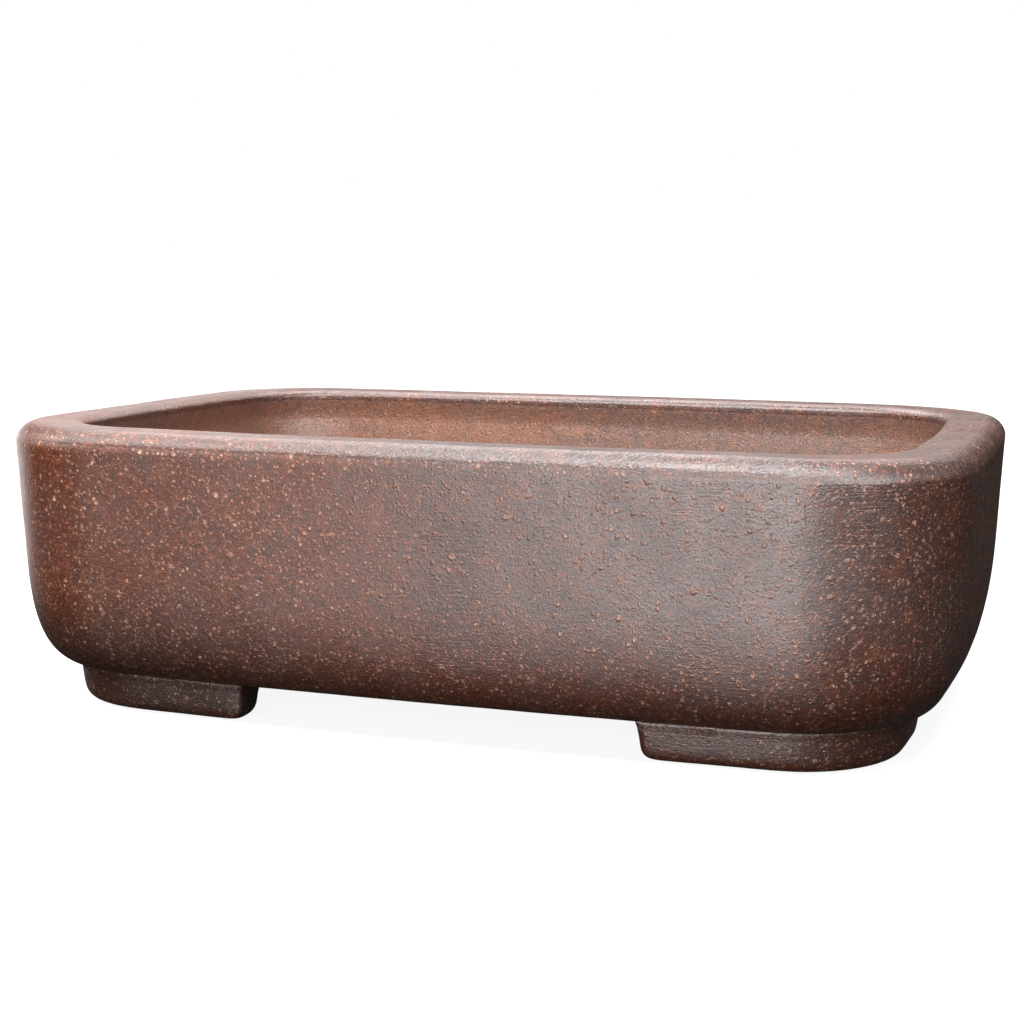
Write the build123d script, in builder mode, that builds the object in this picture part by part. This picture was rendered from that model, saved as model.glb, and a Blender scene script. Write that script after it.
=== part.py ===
"""A rectangular unglazed stoneware bonsai pot on four corner feet.

The pot is put together the way a potter builds it from clay slabs. A floor slab carries four
walls that are mitred at the corners, four lip strips lie on the walls, and four L-shaped feet
are luted under the floor. The working pot also has a plastic screen over each drain hole,
held by a bent wire clip.

Millimetres. +X runs along the pot, +Y from the front to the back and +Z up. The origin is on
the ground, under the middle of the pot.
"""

import os
from math import cos, radians, sin, tan

from build123d import *

# Driving dimensions, in millimetres and degrees.
rim_length = 300.0
rim_width = 209.4
body_height = 76.6
foot_height = 12.2

# The plan: four long arcs, with round corners.
side_bow = 3.6
end_bow = 4.15
rim_corner_radius = 45.8
corner_radius_loss = 0.468

# The outer face: a leaning wall that turns into the underside along a superellipse.
wall_lean = 2.81
turn_width = 17.3
turn_height = 36.8
turn_power = 3.0
turn_angles = (8, 20, 34, 48, 60, 70, 78, 84, 88, 90)

# The lip strips, which stand a little over the inner face of the walls.
lip_width = 19.2
lip_thickness = 4.0
lip_outer_round = 6.3
lip_inner_round = 2.9
lip_inner_corner_radius = 32.2

# The walls and the floor inside the pot.
wall_thickness = 17.4
floor_thickness = 12.0
cavity_corner_radius = 33.0
cavity_floor_round = 10.0

# The feet.
foot_inset = 15.7
foot_corner_radius = 35.5
foot_taper = 7.5
foot_gap_along_side = 120.7
foot_gap_along_end = 62.0
foot_leg_width = 15.0
foot_inner_corner_radius = 21.0
foot_edge_round = 3.8
foot_rise_into_turn = 3.0

# Holes in the floor.
drain_hole_radius = 11.0
drain_hole_x = 62.0
drain_hole_edge_round = 1.5
wire_hole_radius = 2.5
wire_hole_x = 96.0
wire_hole_y = 38.0

# Drain screens and their clips.
mesh_pitch = 4.0
mesh_bar = 1.2
mesh_openings_per_side = 9
mesh_thickness = 1.2
clip_wire_radius = 0.75
clip_leg_offset = 2 * mesh_pitch
clip_tail = 9.0
clip_bend_radius = 1.7
clip_clearance = 0.1

# Heights and half sizes that follow from them.
rim_height = foot_height + body_height
lip_bottom = rim_height - lip_thickness
floor_top = foot_height + floor_thickness
turn_start = foot_height + turn_height
lean_slope = tan(radians(wall_lean))
corner_x = rim_length / 2 - end_bow
corner_y = rim_width / 2 - side_bow
mitre_reach = 60.0


def outline(height, inset, corner_radius):
    """The bowed, round-cornered plan of the pot, drawn inside the rim's plan at a height."""
    half_length = corner_x - inset
    half_width = corner_y - inset
    corners = [
        (half_length, -half_width),
        (half_length, half_width),
        (-half_length, half_width),
        (-half_length, -half_width),
    ]
    crowns = [
        (half_length + end_bow, 0),
        (0, half_width + side_bow),
        (-half_length - end_bow, 0),
        (0, -half_width - side_bow),
    ]
    with BuildSketch(Plane.XY.offset(height)) as plan:
        with BuildLine():
            for i, crown in enumerate(crowns):
                ThreePointArc(corners[i], crown, corners[(i + 1) % 4])
        make_face()
        fillet(plan.vertices(), radius=corner_radius)
    return plan.sketch


def outer_outline(height, inset):
    """A plan of the outer face, whose corners tighten a little as the pot narrows."""
    return outline(height, inset, rim_corner_radius - corner_radius_loss * inset)


def wall_inset(height):
    """How far the leaning wall stands inside the rim's plan at a height."""
    return max(0.0, (rim_height - lip_outer_round - height) * lean_slope)


# The solid shape of the pot, with no hollow: every clay piece is cut from it or to it.
with BuildPart() as blank:
    for height in (rim_height, lip_bottom - lip_thickness, turn_start):
        add(outer_outline(height, wall_inset(height)))
    for angle in turn_angles:
        across = cos(radians(angle)) ** (2 / turn_power) if angle < 90 else 0.0
        down = turn_height * sin(radians(angle)) ** (2 / turn_power)
        lean = wall_inset(turn_start) + down * lean_slope * across
        add(outer_outline(turn_start - down, lean + turn_width * (1 - across)))
    loft()
    fillet(blank.faces().sort_by(Axis.Z)[-1].edges(), radius=lip_outer_round)

# The hollow below the lip, with a rounded joint between its walls and its floor.
with BuildPart() as cavity:
    for height in (lip_bottom, floor_top):
        add(outline(height, wall_thickness + wall_inset(height), cavity_corner_radius))
    loft(ruled=True)
    fillet(cavity.faces().sort_by(Axis.Z)[0].edges(), radius=cavity_floor_round)

# The full ring of the lip, before its mitres.
with BuildPart() as lip_ring:
    add(blank.part)
    split(bisect_by=Plane.XY.offset(lip_bottom), keep=Keep.TOP)
    add(outline(lip_bottom, lip_width, lip_inner_corner_radius))
    extrude(amount=lip_thickness, mode=Mode.SUBTRACT)
    lip_top = lip_ring.faces().sort_by(Axis.Z)[-1]
    fillet(lip_top.inner_wires()[0].edges(), radius=lip_inner_round)

# The full ring of the walls, before their mitres.
with BuildPart() as wall_ring:
    add(blank.part)
    split(bisect_by=Plane.XY.offset(lip_bottom), keep=Keep.BOTTOM)
    split(bisect_by=Plane.XY.offset(floor_top), keep=Keep.TOP)
    add(cavity.part, mode=Mode.SUBTRACT)

os.makedirs("parts", exist_ok=True)

# The mitres run at 45 degrees through the plan's corners, so each side is a wedge of the plan.
mitre_x = corner_x - corner_y
far_x = corner_x + mitre_reach
far_y = corner_y + mitre_reach
wedges = {
    "front": [(-mitre_x, 0), (-far_x, -far_y), (far_x, -far_y), (mitre_x, 0)],
    "back": [(mitre_x, 0), (far_x, far_y), (-far_x, far_y), (-mitre_x, 0)],
    "left": [(-mitre_x, 0), (-far_x, far_y), (-far_x, -far_y)],
    "right": [(mitre_x, 0), (far_x, -far_y), (far_x, far_y)],
}

for side, wedge in wedges.items():
    with BuildPart() as wall:
        add(wall_ring.part)
        with BuildSketch():
            Polygon(*wedge, align=None)
        extrude(amount=rim_height, mode=Mode.INTERSECT)
    wall.part.label = f"{side}_wall"
    export_step(wall.part, f"parts/{side}_wall.step")

    with BuildPart() as lip:
        add(lip_ring.part)
        with BuildSketch():
            Polygon(*wedge, align=None)
        extrude(amount=rim_height, mode=Mode.INTERSECT)
    lip.part.label = f"{side}_lip"
    export_step(lip.part, f"parts/{side}_lip.step")

# The floor slab, with two drain holes and four holes for tie wires.
with BuildPart() as floor_slab:
    add(blank.part)
    split(bisect_by=Plane.XY.offset(floor_top), keep=Keep.BOTTOM)
    with Locations((-drain_hole_x, 0, floor_top), (drain_hole_x, 0, floor_top)):
        Hole(radius=drain_hole_radius, depth=floor_thickness)
    drain_edges = floor_slab.edges().filter_by(GeomType.CIRCLE)
    fillet(drain_edges.group_by(Axis.Z)[0], radius=drain_hole_edge_round)
    with Locations((0, 0, floor_top)):
        with GridLocations(2 * wire_hole_x, 2 * wire_hole_y, 2, 2):
            Hole(radius=wire_hole_radius, depth=floor_thickness)
floor_slab.part.label = "floor_slab"
export_step(floor_slab.part, "parts/floor_slab.step")

# One foot, under the front left corner. Its top follows the turn of the body above it.
foot_top = foot_height + foot_rise_into_turn
foot_spread = foot_rise_into_turn * tan(radians(foot_taper))
foot_end_x = foot_spread - foot_gap_along_side / 2
foot_end_y = foot_spread - foot_gap_along_end / 2
with BuildPart() as foot:
    with BuildSketch(Plane.XY.offset(foot_top)) as foot_plan:
        add(outline(0, foot_inset - foot_spread, foot_corner_radius + foot_spread))
        foot_inner = foot_inset + foot_leg_width + foot_spread
        add(outline(0, foot_inner, foot_inner_corner_radius - foot_spread), mode=Mode.SUBTRACT)
        with Locations((foot_end_x, foot_end_y)):
            Rectangle(rim_length, rim_width, align=(Align.MAX, Align.MAX), mode=Mode.INTERSECT)
    extrude(amount=-foot_top, taper=foot_taper)
    fillet(foot.faces().sort_by(Axis.Z)[0].edges(), radius=foot_edge_round)
    add(blank.part, mode=Mode.SUBTRACT)

for side, flip_x in (("left", False), ("right", True)):
    for end, flip_y in (("front", False), ("back", True)):
        with BuildPart() as corner_foot:
            add(foot.part)
            if flip_x:
                mirror(about=Plane.YZ, mode=Mode.REPLACE)
            if flip_y:
                mirror(about=Plane.XZ, mode=Mode.REPLACE)
        corner_foot.part.label = f"foot_{end}_{side}"
        export_step(corner_foot.part, f"parts/foot_{end}_{side}.step")

# The drain screens: square plastic grids that lie on the floor over the drain holes.
mesh_side = mesh_openings_per_side * mesh_pitch + mesh_bar
mesh_opening = mesh_pitch - mesh_bar
clip_low = foot_height - clip_wire_radius - clip_clearance
clip_high = floor_top + mesh_thickness + clip_wire_radius + clip_clearance
for side, x in (("left", -drain_hole_x), ("right", drain_hole_x)):
    with BuildPart() as drain_mesh:
        with BuildSketch(Plane.XY.offset(floor_top)):
            with Locations((x, 0)):
                Rectangle(mesh_side, mesh_side)
                with GridLocations(
                    mesh_pitch, mesh_pitch, mesh_openings_per_side, mesh_openings_per_side
                ):
                    Rectangle(mesh_opening, mesh_opening, mode=Mode.SUBTRACT)
        extrude(amount=mesh_thickness)
    drain_mesh.part.label = f"drain_mesh_{side}"
    export_step(drain_mesh.part, f"parts/drain_mesh_{side}.step")

    # The clip: a wire staple over the screen, whose legs go down the hole and fold outwards.
    leg = clip_leg_offset
    tail = clip_leg_offset + clip_tail
    with BuildPart() as mesh_clip:
        with BuildLine() as clip_line:
            FilletPolyline(
                (x - tail, 0, clip_low),
                (x - leg, 0, clip_low),
                (x - leg, 0, clip_high),
                (x + leg, 0, clip_high),
                (x + leg, 0, clip_low),
                (x + tail, 0, clip_low),
                radius=clip_bend_radius,
            )
        with BuildSketch(Plane(clip_line.line @ 0, z_dir=clip_line.line % 0)):
            Circle(clip_wire_radius)
        sweep()
    mesh_clip.part.label = f"mesh_clip_{side}"
    export_step(mesh_clip.part, f"parts/mesh_clip_{side}.step")
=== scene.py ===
"""Looks of the bonsai pot: its uneven clay skin, its drain screens and their wire clips.

The clay pieces are cut from continuous skins over the whole pot, which follow the CAD model's
plan and profile. So the clay runs on from piece to piece, as it does once the pot is fired.
Metres. +X runs along the pot, +Y from the front to the back and +Z up.
"""

import math

import bpy
import numpy as np
from mathutils import Matrix, Vector
from mathutils.geometry import delaunay_2d_cdt


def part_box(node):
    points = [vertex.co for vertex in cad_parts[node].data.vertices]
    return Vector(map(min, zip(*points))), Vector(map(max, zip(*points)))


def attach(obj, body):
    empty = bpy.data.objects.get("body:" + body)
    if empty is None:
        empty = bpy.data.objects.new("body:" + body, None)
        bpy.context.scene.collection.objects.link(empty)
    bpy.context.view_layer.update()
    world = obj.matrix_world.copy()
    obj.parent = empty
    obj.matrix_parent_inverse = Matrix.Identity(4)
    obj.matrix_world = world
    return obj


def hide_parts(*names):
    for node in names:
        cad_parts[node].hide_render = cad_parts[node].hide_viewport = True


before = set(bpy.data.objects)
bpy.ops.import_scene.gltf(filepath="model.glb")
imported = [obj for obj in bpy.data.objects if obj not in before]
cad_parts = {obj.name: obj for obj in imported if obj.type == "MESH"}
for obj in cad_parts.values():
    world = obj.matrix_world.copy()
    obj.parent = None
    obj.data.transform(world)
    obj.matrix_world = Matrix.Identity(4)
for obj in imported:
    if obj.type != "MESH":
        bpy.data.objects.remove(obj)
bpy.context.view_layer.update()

MM = 0.001

# The plan: how far its long arcs bow out, and its corners.
SIDE_BOW = 3.6 * MM
END_BOW = 4.15 * MM
RIM_CORNER_RADIUS = 45.8 * MM
CORNER_RADIUS_LOSS = 0.468

# The profile of the lip, the wall and the floor. The lip's overhang is smoothed into its inner
# face and down into the wall: by its under round above the joint and by its undercut below it.
WALL_SLOPE = math.tan(math.radians(2.81))
TURN_WIDTH = 17.3 * MM
TURN_HEIGHT = 36.8 * MM
TURN_POWER = 3.0
LIP_WIDTH = 19.2 * MM
LIP_OUTER_ROUND = 6.3 * MM
LIP_OUTER_POWER = 1.8
LIP_INNER_ROUND = (4.8 * MM, 2.6 * MM)
LIP_UNDER_ROUND = 1.4 * MM
LIP_UNDERCUT = 8.0 * MM
LIP_INNER_CORNER_RADIUS = 32.2 * MM
WALL_THICKNESS = 17.4 * MM
CAVITY_CORNER_RADIUS = 33.0 * MM
CAVITY_FLOOR_ROUND = 10.0 * MM

# The tooled line below the lip: its depth, how far below the joint it runs, and how far it
# spreads upwards and downwards.
CREASE_DEPTH = 0.22 * MM
CREASE_DROP = 0.4 * MM
CREASE_ABOVE = 0.4 * MM
CREASE_BELOW = 1.8 * MM

# The feet, which are pressed a little way into the body.
FOOT_PRESS = 0.5 * MM
FOOT_SOFTNESS = 2.8 * MM

# The drain screens and their clips.
SCREEN_PITCH = 4.0 * MM
SCREEN_BAR = 1.2 * MM
WIRE_RADIUS = 0.75 * MM
WIRE_BEND_RADIUS = 1.7 * MM

# How narrow a clip's ends are, and over which share of their straight runs they narrow.
WIRE_PINCH = 0.45
WIRE_PINCHED_RUN = 0.04
WIRE_SHORT_CUT = 0.05 * MM

# Heights and half sizes, read from the frame.
rim_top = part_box("front_lip")[1].z
lip_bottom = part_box("front_lip")[0].z
floor_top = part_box("floor_slab")[1].z
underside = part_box("floor_slab")[0].z
corner_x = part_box("right_wall")[1].x - END_BOW
corner_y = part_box("back_wall")[1].y - SIDE_BOW
drain_x = sum(corner.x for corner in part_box("drain_mesh_right")) / 2

# Holes in the floor: radius, and the rounding of the upper and the lower edge.
DRAIN_HOLE = (11.0 * MM, 0.8 * MM, 1.5 * MM)
WIRE_HOLE = (2.5 * MM, 0.5 * MM, 0.5 * MM)
WIRE_HOLE_X = 96 * MM
WIRE_HOLE_Y = 38 * MM
holes = [((side * drain_x, 0.0), *DRAIN_HOLE) for side in (-1, 1)]
holes += [((i * WIRE_HOLE_X, j * WIRE_HOLE_Y), *WIRE_HOLE) for i in (-1, 1) for j in (-1, 1)]

# The numbers of a clay piece's two materials.
OUTSIDE, INSIDE = 0, 1

# Mesh spacing.
SPACING = 1.0 * MM
FLOOR_SPACING = 2.0 * MM
FOOT_VOXEL = 0.7 * MM


# ---------------------------------------------------------------- noise

CELLS = 32
lattice = np.random.default_rng(7).random((CELLS, CELLS, CELLS))


def value_noise(points, size, offset=0.0):
    """Smooth noise from 0 to 1 at points, with features of about a size."""
    place = points / size + offset
    cell = np.floor(place).astype(int)
    t = place - cell
    t = t * t * (3 - 2 * t)
    total = 0.0
    for corner in np.ndindex(2, 2, 2):
        weight = np.prod(np.where(corner, t, 1 - t), axis=-1)
        total = total + weight * lattice[tuple(np.moveaxis((cell + corner) % CELLS, -1, 0))]
    return total


def unevenness(points):
    """How far hand-pressed clay lies under the ideal surface: slow waves, dents and lumps."""
    waves = value_noise(points, 46 * MM, 3.1)
    dents = value_noise(points, 15 * MM, 11.7)
    lumps = value_noise(points, 4.5 * MM, 5.3)
    return 0.30 * MM * waves + 0.12 * MM * dents + 0.05 * MM * lumps


def crease(points):
    """Depth of the tooled line below the lip, which comes and goes and fades at the pot's ends."""
    rise = points[..., 2] - lip_bottom + CREASE_DROP
    line = np.exp(-((rise / np.where(rise > 0, CREASE_ABOVE, CREASE_BELOW)) ** 2))
    patches = 0.4 + 0.6 * value_noise(points, 30 * MM, 1.9)
    fade = np.clip((120 * MM - abs(points[..., 0] + 20 * MM)) / (40 * MM), 0.1, 1)
    return CREASE_DEPTH * line * patches * fade


# ---------------------------------------------------------------- plan

# Columns along the front half side, round the corner (an even number) and along the half end.
COUNTS = (
    round((corner_x - RIM_CORNER_RADIUS) / SPACING),
    2 * round(RIM_CORNER_RADIUS * math.pi / 4 / SPACING),
    round((corner_y - RIM_CORNER_RADIUS) / SPACING),
)
COLUMNS = 4 * sum(COUNTS)


def arc(centre, radius, first, last, count):
    """Points on an arc, without its last one."""
    angles = np.linspace(first, last, count, endpoint=False)
    return centre + radius * np.stack([np.cos(angles), np.sin(angles)], -1)


def plan(inset, corner_radius):
    """The bowed, round-cornered plan of the pot, counterclockwise from the middle of the front."""
    a = corner_x - inset
    b = corner_y - inset
    side_radius = (a * a + SIDE_BOW**2) / (2 * SIDE_BOW)
    end_radius = (b * b + END_BOW**2) / (2 * END_BOW)
    side_centre = np.array([0.0, side_radius - b - SIDE_BOW])
    end_centre = np.array([a + END_BOW - end_radius, 0.0])

    # The corner arc touches both long arcs from inside, so its centre is nearer to theirs.
    near, far = side_radius - corner_radius, end_radius - corner_radius
    between = end_centre - side_centre
    gap = np.hypot(*between)
    along = (near**2 - far**2 + gap**2) / (2 * gap)
    across = math.sqrt(near**2 - along**2)
    unit = between / gap
    sideways = np.array([unit[1], -unit[0]])
    meetings = [side_centre + unit * along + sideways * across * sign for sign in (-1, 1)]
    corner_centre = max(meetings, key=lambda point: point[0] - point[1])

    touch_side = math.atan2(*(corner_centre - side_centre)[::-1])
    touch_end = math.atan2(*(corner_centre - end_centre)[::-1])
    quarter = np.concatenate([
        arc(side_centre, side_radius, -math.pi / 2, touch_side, COUNTS[0]),
        arc(corner_centre, corner_radius, touch_side, touch_end, COUNTS[1]),
        arc(end_centre, end_radius, touch_end, 0.0, COUNTS[2]),
        [[a + END_BOW, 0.0]],
    ])
    back_right = (quarter * [1, -1])[::-1]
    front_left = (quarter * [-1, 1])[::-1]
    return np.concatenate([quarter[:-1], back_right[:-1], -quarter[:-1], front_left[:-1]])


def side_columns():
    """The columns of each side of the pot, from one mitre to the next."""
    quarter = sum(COUNTS)
    mitre = COUNTS[0] + COUNTS[1] // 2
    stops = {
        "front": (-mitre, mitre),
        "right": (mitre, 2 * quarter - mitre),
        "back": (2 * quarter - mitre, 2 * quarter + mitre),
        "left": (2 * quarter + mitre, 4 * quarter - mitre),
    }
    return {side: np.arange(first, last + 1) % COLUMNS for side, (first, last) in stops.items()}


# ---------------------------------------------------------------- profile rows

# A row is (inset from the rim's plan, height, corner radius).


def steps(first, last, spacing):
    """Evenly spaced values from first up to but not including last."""
    count = max(2, round(abs(last - first) / spacing))
    return np.linspace(first, last, count, endpoint=False)


def wall_inset(z):
    """How far the leaning wall stands inside the rim's plan at a height."""
    return max(0.0, (rim_top - LIP_OUTER_ROUND - z) * WALL_SLOPE)


def roundover_row(angle):
    """A row of the lip's outer roundover: 0 is at its top and a right angle at its side."""
    out = math.sin(angle) ** (2 / LIP_OUTER_POWER)
    up = max(0.0, math.cos(angle)) ** (2 / LIP_OUTER_POWER)
    inset = LIP_OUTER_ROUND * (1 - out)
    return inset, rim_top - LIP_OUTER_ROUND * (1 - up), RIM_CORNER_RADIUS - inset


def turn_row(angle):
    """A row of the turn into the underside: 0 is at its start and a right angle at its end."""
    across = max(0.0, math.cos(angle)) ** (2 / TURN_POWER)
    down = TURN_HEIGHT * math.sin(angle) ** (2 / TURN_POWER)
    start = underside + TURN_HEIGHT
    inset = wall_inset(start) + down * WALL_SLOPE * across + TURN_WIDTH * (1 - across)
    return inset, start - down, RIM_CORNER_RADIUS - CORNER_RADIUS_LOSS * inset


def turn_rows(first, last):
    """Rows of the turn, evenly spaced along its curve, without the last one."""
    angles = np.linspace(first, last, 400)
    places = np.array([turn_row(angle)[:2] for angle in angles])
    run = np.append(0, np.cumsum(np.hypot(*np.diff(places, axis=0).T)))
    return [turn_row(angle) for angle in np.interp(steps(0, run[-1], SPACING), run, angles)]


# Where the lip hands the roundover to the wall, and where the floor slab takes over the turn.
LIP_END = math.acos((1 - (rim_top - lip_bottom) / LIP_OUTER_ROUND) ** (LIP_OUTER_POWER / 2))
WALL_END = math.asin(((underside + TURN_HEIGHT - floor_top) / TURN_HEIGHT) ** (TURN_POWER / 2))


def inner_row(z):
    """A row of the inner face, where the overhanging lip is smoothed down into the wall."""
    share = min(1.0, max(0.0, (z - lip_bottom + LIP_UNDERCUT) / (LIP_UNDERCUT + LIP_UNDER_ROUND)))
    share = share * share * (3 - 2 * share)
    inset = WALL_THICKNESS + wall_inset(z)
    corner_radius = CAVITY_CORNER_RADIUS + share * (LIP_INNER_CORNER_RADIUS - CAVITY_CORNER_RADIUS)
    return inset + share * (LIP_WIDTH - inset), z, corner_radius


def lip_rows():
    """Rows of the lip, from under its rolled inner edge over its top and down its outside."""
    roll_width, roll_height = LIP_INNER_ROUND
    rows = [inner_row(z) for z in steps(lip_bottom, rim_top - roll_height, SPACING / 3)]
    for angle in steps(0, math.pi / 2, SPACING / 2 / roll_width):
        back = roll_width * (1 - math.cos(angle))
        z = rim_top - roll_height * (1 - math.sin(angle))
        rows.append((LIP_WIDTH - back, z, LIP_INNER_CORNER_RADIUS + back))
    inner = np.array([LIP_WIDTH - roll_width, LIP_INNER_CORNER_RADIUS + roll_width])
    outer = np.array([LIP_OUTER_ROUND, RIM_CORNER_RADIUS - LIP_OUTER_ROUND])
    for share in steps(0, 1, SPACING / (inner[0] - outer[0])):
        inset, corner_radius = inner + share * (outer - inner)
        rows.append((inset, rim_top, corner_radius))
    return rows + [roundover_row(a) for a in steps(0, LIP_END, SPACING / 3 / LIP_OUTER_ROUND)]


def wall_rows():
    """Rows of the outer face from the lip down to the floor slab."""
    rows = [roundover_row(a) for a in steps(LIP_END, math.pi / 2, SPACING / 4 / LIP_OUTER_ROUND)]
    for z in steps(rim_top - LIP_OUTER_ROUND, underside + TURN_HEIGHT, SPACING):
        inset = wall_inset(z)
        rows.append((inset, z, RIM_CORNER_RADIUS - CORNER_RADIUS_LOSS * inset))
    return rows + turn_rows(0, WALL_END)


def slab_rows():
    """Rows of the outer face from the floor slab's top to the flat underside, and one on it."""
    inset, z, corner_radius = turn_row(math.pi / 2)
    last = (inset + SPACING, z, corner_radius - SPACING)
    return turn_rows(WALL_END, math.pi / 2) + [turn_row(math.pi / 2), last]


def cavity_rows():
    """Rows of the inner face from the lip down to the floor, and one on it."""
    curve_end = lip_bottom - LIP_UNDERCUT
    round_start = floor_top + CAVITY_FLOOR_ROUND
    rows = [inner_row(z) for z in steps(lip_bottom, curve_end, SPACING / 3)]
    rows += [inner_row(z) for z in steps(curve_end, round_start, SPACING)]
    base = WALL_THICKNESS + wall_inset(round_start)
    for angle in np.append(steps(0, math.pi / 2, SPACING / CAVITY_FLOOR_ROUND), math.pi / 2):
        reach = CAVITY_FLOOR_ROUND * (1 - math.cos(angle))
        z = round_start - CAVITY_FLOOR_ROUND * math.sin(angle)
        rows.append((base + reach, z, CAVITY_CORNER_RADIUS - reach))
    inset, z, corner_radius = rows[-1]
    return rows + [(inset + SPACING, z, corner_radius - SPACING)]


# ---------------------------------------------------------------- skins and shells


def grid_normals(grid, facing):
    """Unit normals of a grid that closes round its second axis."""
    around = np.roll(grid, -1, 1) - np.roll(grid, 1, 1)
    normals = np.cross(np.gradient(grid, axis=0), around) * facing
    return normals / np.linalg.norm(normals, axis=-1, keepdims=True)


def make_skin(rows, facing, depth):
    """The uneven points over rows, and their normals. Facing is 1 outside and -1 inside."""
    grid = np.array([np.c_[plan(inset, r), np.full(COLUMNS, z)] for inset, z, r in rows])
    grid = grid - grid_normals(grid, facing) * depth(grid)[..., None]
    return grid, grid_normals(grid, facing)


class Shell:
    """The vertices and faces of one piece. Smooth faces keep the normals of their points."""

    def __init__(self):
        self.points = []
        self.normals = []
        self.faces = []
        self.smooth = []
        self.finish = []

    def add_points(self, points, normals=None):
        """Adds points and returns their numbers. Without normals they are worked out later."""
        first = len(self.points)
        self.points += np.asarray(points).tolist()
        self.normals += (np.zeros_like(points) if normals is None else normals).tolist()
        return np.arange(first, len(self.points))

    def add_faces(self, faces, smooth=False, finish=OUTSIDE):
        """Adds faces with a finish, which is the number of one of the piece's materials."""
        self.faces += [[int(point) for point in face] for face in faces]
        self.smooth += [smooth] * len(faces)
        self.finish += [finish] * len(faces)

    def add_skin(self, grid, normals, facing=1, closed=False, finish=OUTSIDE):
        """Adds a grid of a skin with its faces, and returns its point numbers."""
        ids = self.add_points(grid.reshape(-1, 3), normals.reshape(-1, 3)).reshape(grid.shape[:2])
        self.add_quads(ids[:-1], ids[1:], facing, closed, True, finish)
        return ids

    def add_quads(self, above, below, facing=1, closed=False, smooth=False, finish=OUTSIDE):
        """Adds quads between two rows. They face outwards where above to below runs down."""
        if closed:
            above, below = (np.concatenate([row, row[..., :1]], -1) for row in (above, below))
        quads = np.stack([above[..., :-1], below[..., :-1], below[..., 1:], above[..., 1:]], -1)
        self.add_faces(quads.reshape(-1, 4)[:, ::facing], smooth, finish)

    def add_mitres(self, profile):
        """Closes both ends of a piece with a face over its profile."""
        self.add_faces([profile[::-1, 0], profile[:, -1]])

    def make_piece(self, node, materials):
        """Makes the object that stands for a CAD node."""
        mesh = bpy.data.meshes.new(f"{node}_clay")
        mesh.from_pydata(self.points, [], self.faces)
        mesh.polygons.foreach_set("use_smooth", self.smooth)

        # A normal of zero leaves the face's own.
        plain = [0.0, 0.0, 0.0]
        mesh.normals_split_custom_set([
            self.normals[point] if smooth else plain
            for face, smooth in zip(self.faces, self.smooth)
            for point in face
        ])
        add_piece(node, mesh, materials)
        mesh.polygons.foreach_set("material_index", self.finish)


def add_piece(node, mesh, materials):
    """Puts a mesh in the scene as the piece that stands for a CAD node."""
    piece = bpy.data.objects.new(f"{node}_looks", mesh)
    bpy.context.scene.collection.objects.link(piece)
    mesh.materials.clear()
    for material in materials:
        mesh.materials.append(material)
    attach(piece, "root")
    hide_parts(node)
    return piece


# ---------------------------------------------------------------- clay pieces


def make_body(clay):
    """The lip strips, the walls and the floor slab."""
    lip, wall, slab, cavity = lip_rows(), wall_rows(), slab_rows(), cavity_rows()

    # The crease is only for the outer face, not for the lip's inside at the same height.
    outer_inset = np.array([row[0] for row in lip + wall + slab])
    creased = (outer_inset < LIP_OUTER_ROUND)[:, None]
    outer = make_skin(lip + wall + slab, 1, lambda p: unevenness(p) + creased * crease(p))
    inner = [part[:-1] for part in make_skin(cavity, -1, unevenness)]

    lip_stop = len(lip)
    wall_stop = lip_stop + len(wall)
    for side, columns in side_columns().items():
        shell = Shell()
        rows = shell.add_skin(*(part[: lip_stop + 1, columns] for part in outer))
        shell.add_quads(rows[-1], rows[0])
        shell.add_mitres(rows)
        shell.make_piece(f"{side}_lip", clay)

        shell = Shell()
        out = shell.add_skin(*(part[lip_stop : wall_stop + 1, columns] for part in outer))
        into = shell.add_skin(*(part[:, columns] for part in inner), facing=-1, finish=INSIDE)
        shell.add_quads(into[0], out[0])
        shell.add_quads(out[-1], into[-1])
        shell.add_mitres(np.concatenate([out, into[::-1]]))
        shell.make_piece(f"{side}_wall", clay)

    shell = Shell()
    out = shell.add_skin(*(part[wall_stop:-1] for part in outer), closed=True)
    rim = shell.add_points(inner[0][-1], inner[1][-1])
    shell.add_quads(rim, out[0], closed=True)
    rings = [add_hole(shell, *hole) for hole in holes]
    add_flat(shell, rim, [ring[0] for ring in rings], faces_up=True, finish=INSIDE)
    add_flat(shell, out[-1], [ring[-1] for ring in rings], faces_up=False, finish=OUTSIDE)
    shell.make_piece("floor_slab", clay)


def add_hole(shell, centre, radius, top_round, bottom_round):
    """Adds a hole through the floor, with both of its edges rounded, and returns its rings."""
    count = max(24, round(2 * math.pi * radius / SPACING))
    around = np.linspace(0, 2 * math.pi, count, endpoint=False)
    turn = np.linspace(0, math.pi / 2, 5)
    sines, cosines = np.sin(turn), np.cos(turn)
    straight = steps(floor_top - top_round, underside + bottom_round, 2 * SPACING)[1:]
    profile = [
        *zip(top_round * (1 - sines), floor_top - top_round * (1 - cosines)),
        *zip(np.zeros(len(straight)), straight),
        *zip(bottom_round * (1 - cosines), underside + bottom_round * (1 - sines)),
    ]
    rings = []
    for flare, z in profile:
        reach = radius + flare
        xy = np.stack([np.cos(around), np.sin(around)], -1) * reach + centre
        above = np.c_[xy, np.full(count, floor_top)]
        below = np.c_[xy, np.full(count, underside)]
        share = (z - underside) / (floor_top - underside)
        height = z - unevenness(above) * share + unevenness(below) * (1 - share)
        rings.append(np.c_[xy, height])
    ids = shell.add_points(np.concatenate(rings)).reshape(len(rings), count)
    shell.add_quads(ids[:-1], ids[1:], facing=-1, closed=True, smooth=True, finish=INSIDE)
    return ids


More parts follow.
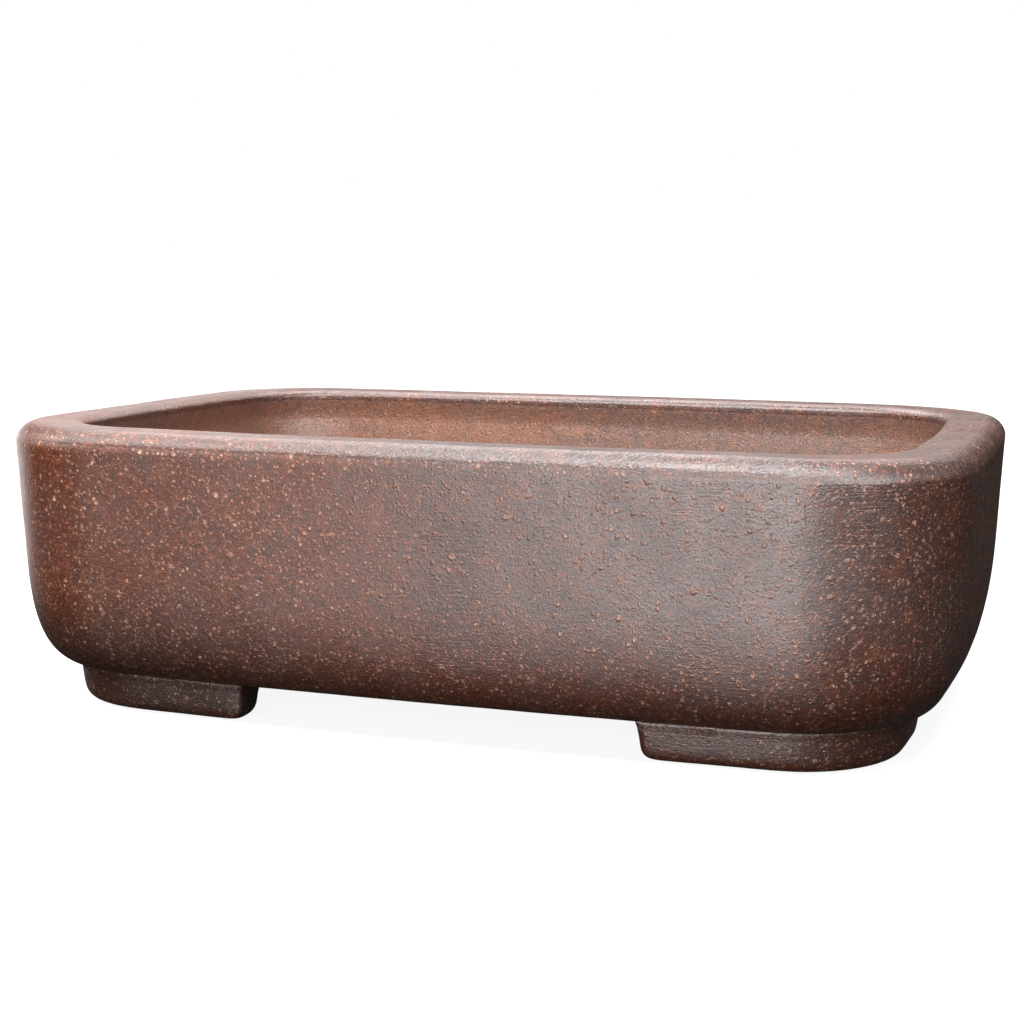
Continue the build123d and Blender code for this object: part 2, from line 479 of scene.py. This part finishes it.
def add_flat(shell, rim, rings, faces_up, finish):
    """Fills the flat face inside a rim, round the rings of the holes, with triangles."""
    loops = [rim, *rings]
    starts = np.cumsum([0] + [len(loop) for loop in loops])
    edges = [
        (int(start + i), int(start + (i + 1) % len(loop)))
        for start, loop in zip(starts, loops)
        for i in range(len(loop))
    ]
    fixed = np.array([shell.points[i][:2] for loop in loops for i in loop])
    circles = [fixed[start : start + len(ring)] for start, ring in zip(starts[1:], rings)]

    loose = loose_points(fixed[: len(rim)], circles)
    spots = np.c_[loose, np.full(len(loose), floor_top if faces_up else underside)]
    spots[:, 2] += unevenness(spots) * (-1 if faces_up else 1)
    ids = np.concatenate([*loops, shell.add_points(spots)])

    # The 1 asks for all triangles inside the rim, so those over the holes are left out after.
    flat = [Vector(spot) for spot in np.concatenate([fixed, loose])]
    points, _, triangles, sources, _, _ = delaunay_2d_cdt(flat, edges, [], 1, 1e-7)
    middles = np.array([points[a] + points[b] + points[c] for a, b, c in triangles]) / 3
    in_hole = np.any([is_inside(middles, circle) for circle in circles], axis=0)
    turn = 1 if faces_up else -1
    faces = [
        [ids[sources[i][0]] for i in triangle[::turn]]
        for triangle, covered in zip(triangles, in_hole)
        if not covered
    ]
    shell.add_faces(faces, smooth=True, finish=finish)


def loose_points(rim, circles):
    """Evenly spaced points inside a rim and outside circles."""
    x, y = np.meshgrid(*(np.arange(-half, half, FLOOR_SPACING) for half in (corner_x, corner_y)))
    x = x + (np.arange(len(x)) % 2)[:, None] * FLOOR_SPACING / 2
    loose = np.stack([x, y], -1).reshape(-1, 2)
    clear = is_inside(loose, rim * (1 - FLOOR_SPACING / corner_x))
    for circle in circles:
        centre = circle.mean(0)
        reach = np.hypot(*(circle[0] - centre)) + FLOOR_SPACING / 2
        clear &= np.hypot(*(loose - centre).T) > reach
    return loose[clear]


def is_inside(points, loop):
    """Which points lie inside a closed loop."""
    odd = np.zeros(len(points), bool)
    x, y = points.T
    for (x0, y0), (x1, y1) in zip(loop, np.roll(loop, -1, 0)):
        if y0 != y1:
            odd ^= ((y0 > y) != (y1 > y)) & (x < x0 + (y - y0) * (x1 - x0) / (y1 - y0))
    return odd


def apply_modifiers(piece):
    """Replaces the piece's mesh with the result of its modifiers."""
    graph = bpy.context.evaluated_depsgraph_get()
    result = bpy.data.meshes.new_from_object(piece.evaluated_get(graph))
    piece.modifiers.clear()
    piece.data = result


def make_foot(node, clay):
    """A foot with softened edges and an uneven skin, pressed a little into the body."""
    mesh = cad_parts[node].data.copy()
    for vertex in mesh.vertices:
        if vertex.co.z > underside - FOOT_PRESS:
            vertex.co.z += FOOT_PRESS
    piece = add_piece(node, mesh, clay)
    remesh = piece.modifiers.new("remesh", "REMESH")
    remesh.mode = "VOXEL"
    remesh.voxel_size = FOOT_VOXEL
    remesh.use_smooth_shade = True
    apply_modifiers(piece)

    # The softening fades out over the 3 mm below the joint with the body.
    exposed = piece.vertex_groups.new(name="exposed")
    for vertex in piece.data.vertices:
        share = (underside + FOOT_PRESS - vertex.co.z) / (3 * MM)
        exposed.add([vertex.index], min(1.0, max(0.15, share)), "REPLACE")
    smooth = piece.modifiers.new("smooth", "SMOOTH")
    smooth.factor = 0.5
    smooth.iterations = round((2 * FOOT_SOFTNESS / FOOT_VOXEL) ** 2)
    smooth.vertex_group = "exposed"
    apply_modifiers(piece)

    # The unevenness does the same over 2 mm.
    soft = piece.data
    points = np.array([vertex.co for vertex in soft.vertices])
    normals = np.array([vertex.normal for vertex in soft.vertices])
    share = np.clip((underside - points[:, 2]) / (2 * MM), 0, 1)
    points -= normals * (unevenness(points) * share)[:, None]
    soft.vertices.foreach_set("co", points.ravel())
    soft.update()


# ---------------------------------------------------------------- screens and clips


def make_screen(node, plastic):
    """A moulded square net, whose bars thin out between their crossings."""
    low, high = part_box(node)
    bars = round((high.x - low.x - SCREEN_BAR) / SCREEN_PITCH) + 1
    hole_middle = (SCREEN_BAR + SCREEN_PITCH) / 2
    marks = [i * SCREEN_PITCH + step for i in range(bars) for step in (0, SCREEN_BAR, hole_middle)]
    marks = np.array(marks[:-1])
    cells = len(marks) - 1
    is_bar = np.arange(cells) % 3 == 0
    solid = is_bar[:, None] | is_bar[None, :]
    middle = np.arange(len(marks)) % 3 == 2
    thin = middle[:, None] | middle[None, :]

    x, y = np.meshgrid(low.x + marks, low.y + marks, indexing="ij")
    thickness = high.z - low.z
    flat = np.stack([x, y, np.zeros_like(x)], -1)
    wave = 0.12 * MM * value_noise(flat, 12 * MM, 8.4)
    top = high.z - wave - thin * 0.3 * thickness
    bottom = low.z + wave + thin * 0.1 * thickness
    shell = Shell()
    upper = shell.add_points(np.stack([x, y, top], -1).reshape(-1, 3)).reshape(x.shape)
    lower = shell.add_points(np.stack([x, y, bottom], -1).reshape(-1, 3)).reshape(x.shape)
    add_net(shell, upper, lower, solid)

    # The rounding needs the bare faces, without the points in the openings.
    used = sorted({point for face in shell.faces for point in face})
    number = {point: i for i, point in enumerate(used)}
    mesh = bpy.data.meshes.new(f"{node}_net")
    faces = [[number[point] for point in face] for face in shell.faces]
    mesh.from_pydata([shell.points[point] for point in used], [], faces)
    mesh.polygons.foreach_set("use_smooth", shell.smooth)
    piece = add_piece(node, mesh, plastic)
    rounding = piece.modifiers.new("rounding", "SUBSURF")
    rounding.levels = rounding.render_levels = 2


def add_net(shell, upper, lower, solid):
    """Adds the faces of a net: the solid cells of two grids of points, and the sides between."""
    padded = np.pad(solid, 1)

    # The sides of a cell: its two corners, and the way to the cell beyond it.
    sides = [
        ((0, 0), (0, 1), (-1, 0)),
        ((0, 1), (1, 1), (0, 1)),
        ((1, 1), (1, 0), (1, 0)),
        ((1, 0), (0, 0), (0, -1)),
    ]
    for i, j in np.argwhere(solid):
        ring = [(i, j), (i + 1, j), (i + 1, j + 1), (i, j + 1)]
        shell.add_faces([[upper[c] for c in ring], [lower[c] for c in ring[::-1]]], smooth=True)
        for (ai, aj), (bi, bj), (di, dj) in sides:
            if not padded[i + 1 + di, j + 1 + dj]:
                a, b = (i + ai, j + aj), (i + bi, j + bj)
                shell.add_faces([[upper[a], upper[b], lower[b], lower[a]]], smooth=True)


def make_clip(node, wire):
    """A wire staple over a screen, whose legs go down the hole and fold out under the floor."""
    low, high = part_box(node)
    middle = (low.x + high.x) / 2
    leg = 2 * SCREEN_PITCH
    top, bottom = high.z - WIRE_RADIUS, low.z + WIRE_RADIUS
    corners = np.array([
        (low.x, bottom),
        (middle - leg, bottom),
        (middle - leg, top),
        (middle + leg, top),
        (middle + leg, bottom),
        (high.x, bottom),
    ])
    path = rounded_path(corners, WIRE_BEND_RADIUS)
    along = np.gradient(path, axis=0)
    along /= np.linalg.norm(along, axis=1, keepdims=True)
    across = np.stack([-along[:, 1], along[:, 0]], -1)
    around = np.linspace(0, 2 * math.pi, 16, endpoint=False)

    # The cutters pinched both ends of the wire and cut one of them a little short.
    radii = np.full(len(path), WIRE_RADIUS)
    radii[[0, -1]] *= WIRE_PINCH
    path[0] += along[0] * WIRE_SHORT_CUT
    shell = Shell()
    rings = []
    for (x, z), (nx, nz), radius in zip(path, across, radii):
        rings.append(np.stack([
            x + radius * np.cos(around) * nx,
            radius * np.sin(around),
            z + radius * np.cos(around) * nz,
        ], -1))
    ids = shell.add_points(np.concatenate(rings)).reshape(len(rings), -1)
    shell.add_quads(ids[:-1], ids[1:], closed=True, smooth=True)
    shell.add_faces([ids[0], ids[-1, ::-1]])
    shell.make_piece(node, wire)


def rounded_path(corners, radius):
    """Points along a bent wire's centre line: straight runs joined by arcs."""
    path = [corners[0], corners[0] + (corners[1] - corners[0]) * WIRE_PINCHED_RUN]
    for before, corner, after in zip(corners, corners[1:], corners[2:]):
        back = (before - corner) / np.linalg.norm(before - corner)
        ahead = (after - corner) / np.linalg.norm(after - corner)
        centre = corner + (back + ahead) * radius
        for angle in np.linspace(0, math.pi / 2, 9):
            path.append(centre - ahead * radius * math.cos(angle) - back * radius * math.sin(angle))
    path += [corners[-1] + (corners[-2] - corners[-1]) * WIRE_PINCHED_RUN, corners[-1]]
    return np.array(path)


# ---------------------------------------------------------------- materials


class Nodes:
    """Adds shader nodes to a material or a world."""

    def __init__(self, owner):
        owner.use_nodes = True
        self.tree = owner.node_tree
        self.tree.nodes.clear()

    def add(self, kind, inputs=None, **settings):
        """Adds a node. Inputs are numbers, colours or other nodes' outputs."""
        node = self.tree.nodes.new(f"ShaderNode{kind}")
        for name, value in settings.items():
            setattr(node, name, value)
        for name, value in (inputs or {}).items():
            if isinstance(value, bpy.types.NodeSocket):
                self.tree.links.new(value, node.inputs[name])
            else:
                node.inputs[name].default_value = value
        return node

    def math(self, operation, first, second=0.0, third=0.0):
        """The result of a sum on numbers or outputs."""
        inputs = {0: first, 1: second, 2: third}
        return self.add("Math", inputs, operation=operation).outputs[0]

    def remap(self, value, low, high, to_low=0.0, to_high=1.0, smooth=True):
        """A value moved from one range to another, and kept inside it."""
        return self.add(
            "MapRange",
            {"Value": value, "From Min": low, "From Max": high, "To Min": to_low, "To Max": to_high},
            interpolation_type="SMOOTHSTEP" if smooth else "LINEAR",
        ).outputs["Result"]

    def noise(self, place, size, detail=2.0, roughness=0.5, distortion=0.0):
        """Noise from about 0.2 to 0.8 with features of about a size."""
        return self.add(
            "TexNoise",
            {
                "Vector": place,
                "Scale": 1 / size,
                "Detail": detail,
                "Roughness": roughness,
                "Distortion": distortion,
            },
        ).outputs["Fac"]

    def mix(self, share, first, second, blend="MIX"):
        """Two colours mixed."""
        inputs = {0: share, 6: first, 7: second}
        return self.add("Mix", inputs, data_type="RGBA", blend_type=blend).outputs[2]

    def surface(self, colour, roughness, height, **others):
        """Makes the material's surface. Height is in metres."""
        bump = self.add("Bump", {"Height": height, "Distance": 1.0, "Strength": 1.0}).outputs[0]
        inputs = {"Base Color": colour, "Roughness": roughness, "Normal": bump, **others}
        shader = self.add("BsdfPrincipled", inputs)
        self.add("OutputMaterial", {"Surface": shader.outputs[0]})


def rgb(red, green, blue):
    """A linear colour from display values of 11 to 255."""
    return (*(((value / 255 + 0.055) / 1.055) ** 2.4 for value in (red, green, blue)), 1.0)


# The colours of a grain's edge and middle and of a pit, which is painted shade in a pinhole and the
# dark colour of a burnt-out speck, and how grit shades the clay.
GRAIN_EDGE = rgb(158, 94, 60)
GRAIN_MIDDLE = rgb(232, 192, 164)
PIT_SHADE_AND_SPECK = rgb(22, 16, 16)
GRIT_SHADES = ((0.45, 0.45, 0.45, 1.0), (1.6, 1.55, 1.5, 1.0))

# Dust, sand and coarse grains: the size of the cells that each hold one grain or none, the share
# that hold one, the smallest and the largest radius, and how high they stand.
GRAINS = (
    (1.0 * MM, 0.95, 0.16 * MM, 0.44 * MM, 0.04 * MM),
    (1.6 * MM, 0.9, 0.24 * MM, 0.70 * MM, 0.08 * MM),
    (4.0 * MM, 0.5, 0.40 * MM, 1.00 * MM, 0.13 * MM),
)


class ClayNodes(Nodes):
    """Shader nodes of the fired clay, in layers that add to its colour and its height."""

    def __init__(self, material):
        super().__init__(material)

        # The clay's colour, its height in metres, and how far grains cover it.
        self.colour = (0.0, 0.0, 0.0, 1.0)
        self.height = 0.0
        self.halos = 0.0

        # Noises that more than one layer uses.
        self.place = self.add("TexCoord").outputs["Object"]
        self.ragged = self.make_ragged()
        self.clouds = self.noise(self.place, 14 * MM, 4.0, 0.6)
        self.mottle = self.noise(self.place, 2.2 * MM, 3.0, 0.6)
        self.fine = self.noise(self.place, 0.9 * MM, 4.0, 0.7)
        self.grit = self.noise(self.place, 0.45 * MM, 2.0, 0.6)
        self.along, _, self.up = self.add("SeparateXYZ", {"Vector": self.place}).outputs

        # The lip's top, whose grey is a painted sheen; a zone right of the middle that was smoothed
        # by rubbing, whose grey is a painted sheen too; and a zone low on the left darkened as
        # painted shade.
        self.high = self.remap(self.up, rim_top - LIP_OUTER_ROUND, rim_top - LIP_OUTER_ROUND / 2)
        self.rubbed_and_sheen = self.math(
            "MULTIPLY", self.remap(self.along, -0.05, 0.02), self.remap(self.along, 0.13, 0.1)
        )
        self.rubbed_and_sheen = self.math("MULTIPLY", self.rubbed_and_sheen, self.remap(self.up, 0.025, 0.055))
        self.painted_shade_low_left = self.math(
            "MULTIPLY", self.remap(self.up, 0.048, 0.022), self.remap(self.along, 0.01, -0.09)
        )

    def make_ragged(self):
        """The place, shaken a little, which gives grains and stains ragged edges."""
        wobble = self.add("TexNoise", {"Vector": self.place, "Scale": 1 / (0.8 * MM), "Detail": 1.0})
        centred = {0: wobble.outputs["Color"], 1: (0.5,) * 3}
        shift = self.add("VectorMath", centred, operation="SUBTRACT").outputs[0]
        shift = self.add("VectorMath", {0: shift, "Scale": 1.1 * MM}, operation="SCALE").outputs[0]
        return self.add("VectorMath", {0: self.place, 1: shift}).outputs[0]

    def tint(self, share, strength, colour):
        """Covers a share of the clay with a colour."""
        self.colour = self.mix(self.math("MULTIPLY", share, strength), self.colour, colour)

    def lift(self, layer, rise):
        """Raises the clay where a layer is 1."""
        self.height = self.math("MULTIPLY_ADD", layer, rise, self.height)

    def scatter(self, cell, share, smallest, largest):
        """Scattered round spots: the distance from a spot's middle, in radii, and its own tone."""
        found = self.add("TexVoronoi", {"Vector": self.ragged, "Scale": 1 / cell, "Randomness": 1.0})
        chance = self.add("SeparateColor", {"Color": found.outputs["Color"]}).outputs
        spread = self.math("MULTIPLY", chance[0], chance[0])
        radius = self.math("MULTIPLY_ADD", spread, (largest - smallest) / cell, smallest / cell)
        radius = self.math("MULTIPLY", radius, self.math("LESS_THAN", chance[1], share))
        reach = self.math("DIVIDE", found.outputs["Distance"], self.math("MAXIMUM", radius, 0.001))
        return reach, chance[2]

    def add_ground(self, rust, slate, umber, stain, painted_shade_towards_bottom):
        """The clay between the grains, from rust to slate, with umber clouds and rusty stains. Slate
        grey also stands for a painted sheen, and umber for painted shade low down.
        """
        patches = self.noise(self.place, 75 * MM, 3.0, 0.55, 0.4)
        stains = self.noise(self.ragged, 8 * MM, 3.0, 0.6, 0.5)
        flecks = self.noise(self.ragged, 2.6 * MM, 3.0, 0.6, 0.3)
        # Slate grey towards the right, in the zone smoothed by rubbing and on the lip's top, and less
        # of it low down, is a painted sheen; the three noise layers are the clay's own tone.
        greyness_and_sheen = self.remap(self.along, -0.11, 0.09, -0.65, -0.15)
        for layer, factor in (
            (self.rubbed_and_sheen, 0.25),
            (self.remap(self.up, 0.05, 0.015), -0.5),
            (self.high, 0.35),
            (self.remap(patches, 0.38, 0.62), 0.35),
            (self.remap(self.clouds, 0.3, 0.7), 0.45),
            (self.remap(self.fine, 0.35, 0.65), 0.7),
        ):
            greyness_and_sheen = self.math("MULTIPLY_ADD", layer, factor, greyness_and_sheen)
        self.colour = self.mix(self.remap(greyness_and_sheen, 0.0, 1.0, smooth=False), rust, slate)
        self.tint(self.remap(self.mottle, 0.5, 0.72), 0.55, umber)
        self.tint(self.remap(stains, 0.55, 0.72), 0.5, stain)
        self.tint(self.remap(flecks, 0.5, 0.68), 0.5, stain)
        # Painted shade: umber low on the left.
        self.tint(self.painted_shade_low_left, 0.6, umber)
        # Painted shade: umber towards the bottom, outside towards the ground and inside towards the
        # pot's floor.
        self.tint(self.remap(self.up, 0.075, 0.03), painted_shade_towards_bottom, umber)
        shade = self.mix(self.remap(self.grit, 0.34, 0.66), *GRIT_SHADES)
        self.colour = self.mix(1.0, self.colour, shade, "MULTIPLY")
        self.lift(self.fine, 0.09 * MM)
        self.lift(self.grit, 0.05 * MM)
        self.lift(self.mottle, 0.07 * MM)

    def add_grains(self, strength):
        """Grains of fired clay, from rust to cream, fainter in the zone smoothed by rubbing and in
        the painted shade low on the left.
        """
        bare = self.math("MULTIPLY_ADD", self.rubbed_and_sheen, -0.45, 1.0)
        bare = self.math("MULTIPLY_ADD", self.painted_shade_low_left, -0.35, bare)
        bare = self.math("MULTIPLY", bare, strength)
        for cell, share, smallest, largest, rise in GRAINS:
            reach, tone = self.scatter(cell, share, smallest, largest)
            paleness = self.remap(tone, 0, 0.8, 0.3, 0.85)
            halo = self.math("MULTIPLY", self.remap(reach, 1.6, 0.3), paleness)
            core = self.math("MULTIPLY", self.remap(reach, 0.72, 0.1), self.remap(tone, 0.15, 0.75))
            self.tint(halo, bare, GRAIN_EDGE)
            self.tint(core, bare, GRAIN_MIDDLE)
            self.lift(self.remap(reach, 1.2, 0.5), rise)
            self.halos = self.math("MAXIMUM", self.halos, halo)

    def add_pits(self):
        """Pinholes, darkened with painted shade, and burnt-out specks."""
        reach, _ = self.scatter(8.0 * MM, 0.16, 0.30 * MM, 0.65 * MM)
        pits_and_pit_shade = self.remap(reach, 1.0, 0.5)
        # The dark pit colour is painted shade in the pinholes and the own dark colour of the
        # burnt-out specks.
        self.tint(pits_and_pit_shade, 0.9, PIT_SHADE_AND_SPECK)
        self.lift(pits_and_pit_shade, -0.3 * MM)

    def add_strokes(self):
        """Faint level strokes left by the smoothing rib."""
        level = self.add("Mapping", {"Vector": self.place, "Scale": (1 / 22, 1 / 22, 1.0)}).outputs[0]
        strokes = self.remap(self.noise(level, 0.5 * MM, 2.0, 0.5), 0.35, 0.6)
        where = self.remap(self.noise(self.place, 34 * MM, 2.0), 0.45, 0.65)
        self.lift(self.math("MULTIPLY", strokes, where), 0.02 * MM)

    def add_drags(self, umber):
        """Drag marks, where a sponge was wiped slantwise over the lip."""
        slant = self.add("Mapping", {"Vector": self.place, "Rotation": (0, 0, -0.7)}).outputs[0]
        slant = self.add("Mapping", {"Vector": slant, "Scale": (1 / 14, 1, 1)}).outputs[0]
        drags = self.remap(self.noise(slant, 0.9 * MM, 2.0, 0.5), 0.36, 0.64)
        where = self.remap(self.noise(self.place, 26 * MM, 2.0), 0.4, 0.6)
        wiped = self.math("MULTIPLY", self.high, where)
        self.lift(self.math("MULTIPLY", drags, wiped), 0.09 * MM)
        self.tint(wiped, 0.35, umber)


def make_clay(name, rust, slate, umber, stain, grain_strength, painted_shade_towards_bottom):
    """Unglazed stoneware: a dark iron clay, smoothed while wet and full of paler grains.

    The last argument is how far the clay darkens to umber towards the bottom, as painted shade.
    """
    material = bpy.data.materials.new(name)
    nodes = ClayNodes(material)
    nodes.add_ground(rust, slate, umber, stain, painted_shade_towards_bottom)
    nodes.add_grains(grain_strength)
    nodes.add_pits()
    nodes.add_strokes()
    nodes.add_drags(umber)
    roughness = nodes.remap(nodes.clouds, 0.3, 0.7, 0.36, 0.46, smooth=False)
    roughness = nodes.math("MULTIPLY_ADD", nodes.halos, 0.12, roughness)
    roughness = nodes.math("MULTIPLY_ADD", nodes.rubbed_and_sheen, -0.03, roughness)
    nodes.surface(nodes.colour, roughness, nodes.height, IOR=1.85)
    return material


def make_plastic():
    """Matt black moulded plastic, dusty and a little scuffed."""
    material = bpy.data.materials.new("screen_plastic")
    nodes = Nodes(material)
    place = nodes.add("TexCoord").outputs["Object"]
    dust = nodes.noise(place, 7 * MM, 4.0, 0.6)
    grain = nodes.noise(place, 0.3 * MM, 2.0)
    colour = nodes.mix(nodes.remap(dust, 0.4, 0.75), rgb(26, 26, 28), rgb(64, 58, 54))
    roughness = nodes.remap(dust, 0.3, 0.7, 0.38, 0.62, smooth=False)
    nodes.surface(colour, roughness, nodes.math("MULTIPLY", grain, 0.03 * MM))
    return material


def make_wire():
    """Copper-brown anodised aluminium, worn by rubbing and scratched in places."""
    material = bpy.data.materials.new("clip_wire")
    nodes = Nodes(material)
    place = nodes.add("TexCoord").outputs["Object"]
    rub = nodes.noise(place, 3 * MM, 3.0, 0.6)
    score = nodes.noise(place, 0.15 * MM, 2.0)
    colour = nodes.mix(nodes.remap(rub, 0.5, 0.72), rgb(122, 72, 44), rgb(186, 140, 108))
    roughness = nodes.remap(rub, 0.3, 0.7, 0.26, 0.45, smooth=False)
    nodes.surface(colour, roughness, nodes.math("MULTIPLY", score, 0.012 * MM), Metallic=1.0)
    return material


# ---------------------------------------------------------------- studio

LAMP_DISTANCE = 1.2


def make_camera():
    """A camera to the right of the middle and a little above the rim, as the photographer stood."""
    camera = bpy.data.objects.new("camera", bpy.data.cameras.new("camera"))
    bpy.context.scene.collection.objects.link(camera)
    camera.data.sensor_width = 36
    camera.data.lens = 63.18
    camera.data.clip_start = 0.05
    turn, tilt, roll = 0.3281, -0.1377, 0.0065
    camera.matrix_world = (
        Matrix.Translation((0.1851, -0.5598, rim_top + 0.0495))
        @ Matrix.Rotation(turn, 4, "Z")
        @ Matrix.Rotation(math.pi / 2 + tilt, 4, "X")
        @ Matrix.Rotation(roll, 4, "Z")
    )
    bpy.context.scene.camera = camera


def add_softbox(name, azimuth, elevation, width, height, power, tint=(1, 1, 1), only_sheen=False):
    """A soft light that faces the pot. Azimuth 0 is in front of it and 90 at its right end.

    A light with only sheen shows in the clay's sheen and doesn't light its colour.
    """
    light = bpy.data.lights.new(name, "AREA")
    light.shape = "RECTANGLE"
    light.size, light.size_y = width, height
    light.energy = power
    light.color = tint
    lamp = bpy.data.objects.new(name, light)
    bpy.context.scene.collection.objects.link(lamp)
    around, up = math.radians(azimuth), math.radians(elevation)
    away = Vector((math.sin(around) * math.cos(up), -math.cos(around) * math.cos(up), math.sin(up)))
    lamp.location = Vector((0, 0, rim_top / 2)) + away * LAMP_DISTANCE
    lamp.rotation_mode = "QUATERNION"
    lamp.rotation_quaternion = away.to_track_quat("Z", "Y")
    lamp.visible_diffuse = not only_sheen


def make_floor():
    """A wide white floor, clear from below, which gives the pot no light."""
    mesh = bpy.data.meshes.new("studio_floor")
    corners = [(-6, -6, 0), (6, -6, 0), (6, 6, 0), (-6, 6, 0)]
    mesh.from_pydata(corners, [], [(0, 1, 2, 3)])
    floor = bpy.data.objects.new("studio_floor", mesh)
    bpy.context.scene.collection.objects.link(floor)
    material = bpy.data.materials.new("studio_floor")
    nodes = Nodes(material)
    place = nodes.add("TexCoord").outputs["Object"]
    tone = nodes.mix(nodes.noise(place, 0.9), rgb(134, 134, 134), rgb(140, 140, 140))
    distance = nodes.add("VectorMath", {0: place}, operation="LENGTH").outputs["Value"]
    glow = nodes.remap(distance, 0.3, 0.7, 0.9, 1.05)
    white = (1, 1, 1, 1)
    looks = {"Base Color": tone, "Roughness": 0.9, "Emission Color": white, "Emission Strength": glow}
    paper = nodes.add("BsdfPrincipled", looks)
    underneath = nodes.add("NewGeometry").outputs["Backfacing"]
    clear = nodes.add("BsdfTransparent").outputs[0]
    seen = nodes.add("MixShader", {0: underneath, 1: paper.outputs[0], 2: clear})
    nodes.add("OutputMaterial", {"Surface": seen.outputs[0]})
    mesh.materials.append(material)
    floor.visible_diffuse = False
    floor.visible_glossy = False
    floor.visible_shadow = False


def make_studio():
    """A backdrop, which is white to the camera but nearly dark as a light, and soft lights."""
    scene = bpy.context.scene
    scene.view_settings.view_transform = "Standard"

    world = bpy.data.worlds.new("studio")
    scene.world = world
    nodes = Nodes(world)
    seen = nodes.add("LightPath").outputs["Is Camera Ray"]
    strength = nodes.math("MULTIPLY_ADD", seen, 0.98, 0.02)
    sky = nodes.add("Background", {"Color": (1, 1, 1, 1), "Strength": strength})
    nodes.add("OutputWorld", {"Surface": sky.outputs[0]})

    warm, cool = (1.0, 0.9, 0.84), (0.9, 0.98, 1.0)
    add_softbox("overhead", 0, 62, 1.1, 0.55, 28)
    add_softbox("window", 0, 14, 0.4, 0.35, 5, warm)
    add_softbox("side_left", -75, 34, 0.45, 0.6, 6.5)
    add_softbox("side_right", 102, 25, 0.6, 0.6, 1.2)
    add_softbox("left_back", -130, 0, 0.9, 0.4, 4.5)
    add_softbox("left_back_high", -140, 50, 0.7, 0.5, 9.5)
    add_softbox("back", 172, 46, 0.9, 0.6, 6)
    add_softbox("right_card", 48, 20, 0.7, 0.3, 10.5, cool, only_sheen=True)
    add_softbox("low_card", 0, -7, 0.55, 0.22, 7, (0.94, 0.98, 1.0), only_sheen=True)


clay_outside = make_clay(
    "clay_outside",
    rust=rgb(103, 51, 28),
    slate=rgb(76, 50, 46),
    umber=rgb(44, 26, 20),
    stain=rgb(130, 69, 39),
    grain_strength=1.0,
    painted_shade_towards_bottom=0.08,
)
# The inside is a lighter copy of the outside clay, painted light that offsets the shade in the pot,
# and darkens strongly towards its floor as painted shade.
clay_inside_painted_light = make_clay(
    "clay_inside_painted_light",
    rust=rgb(142, 96, 75),
    slate=rgb(112, 91, 84),
    umber=rgb(74, 50, 41),
    stain=rgb(158, 108, 83),
    grain_strength=0.5,
    painted_shade_towards_bottom=0.7,
)
clay = [clay_outside, clay_inside_painted_light]
make_body(clay)
for end in ("front", "back"):
    for side in ("left", "right"):
        make_foot(f"foot_{end}_{side}", clay)
plastic = [make_plastic()]
wire = [make_wire()]
for side in ("left", "right"):
    make_screen(f"drain_mesh_{side}", plastic)
    make_clip(f"mesh_clip_{side}", wire)
make_camera()
make_floor()
make_studio()
